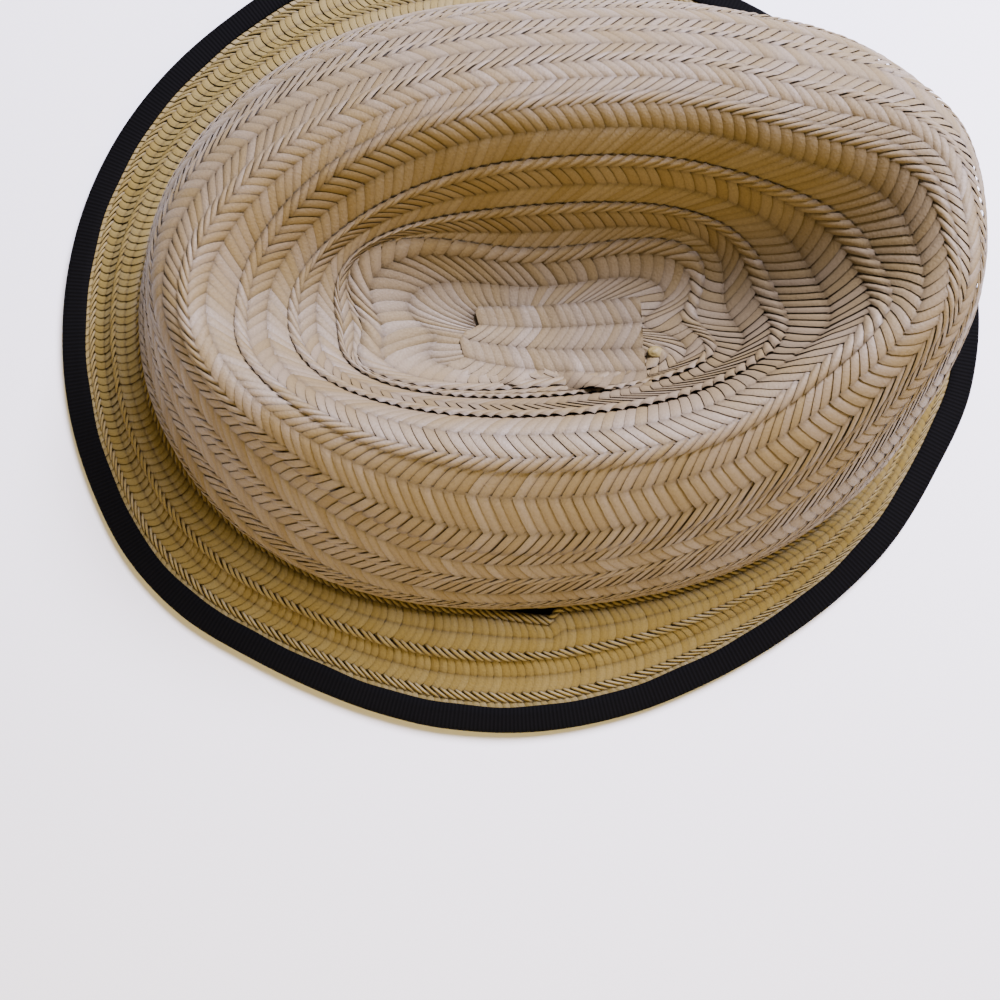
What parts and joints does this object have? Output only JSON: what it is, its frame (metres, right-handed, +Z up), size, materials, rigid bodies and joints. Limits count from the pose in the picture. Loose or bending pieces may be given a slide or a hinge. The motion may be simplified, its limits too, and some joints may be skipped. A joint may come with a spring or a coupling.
{
  "type": "straw trilby hat",
  "caption": "Low straw trilby with a deep off-centre crown dent, a short sloping brim bound in black ribbon, and a black sweatband inside the head opening.",
  "frame": {"origin": "on the ground under the middle of the hat's length and width, level with the underside of the edge binding", "axes": "+Z up through the crown, -Y towards the front of the hat, -X towards the wearer's right side"},
  "size_m": [0.2328, 0.2594, 0.074],
  "materials": {
    "natural_straw": "sewn rows of plaited natural straw, matt with a soft sheen on single strands",
    "black_ribbon": "matt black folded ribbon",
    "black_sweatband": "matt black woven band"
  },
  "bodies": {
    "root": {"crown": "natural_straw", "brim": "natural_straw", "brim_binding": "black_ribbon", "sweatband": "black_sweatband"}
  },
  "joints": []
}
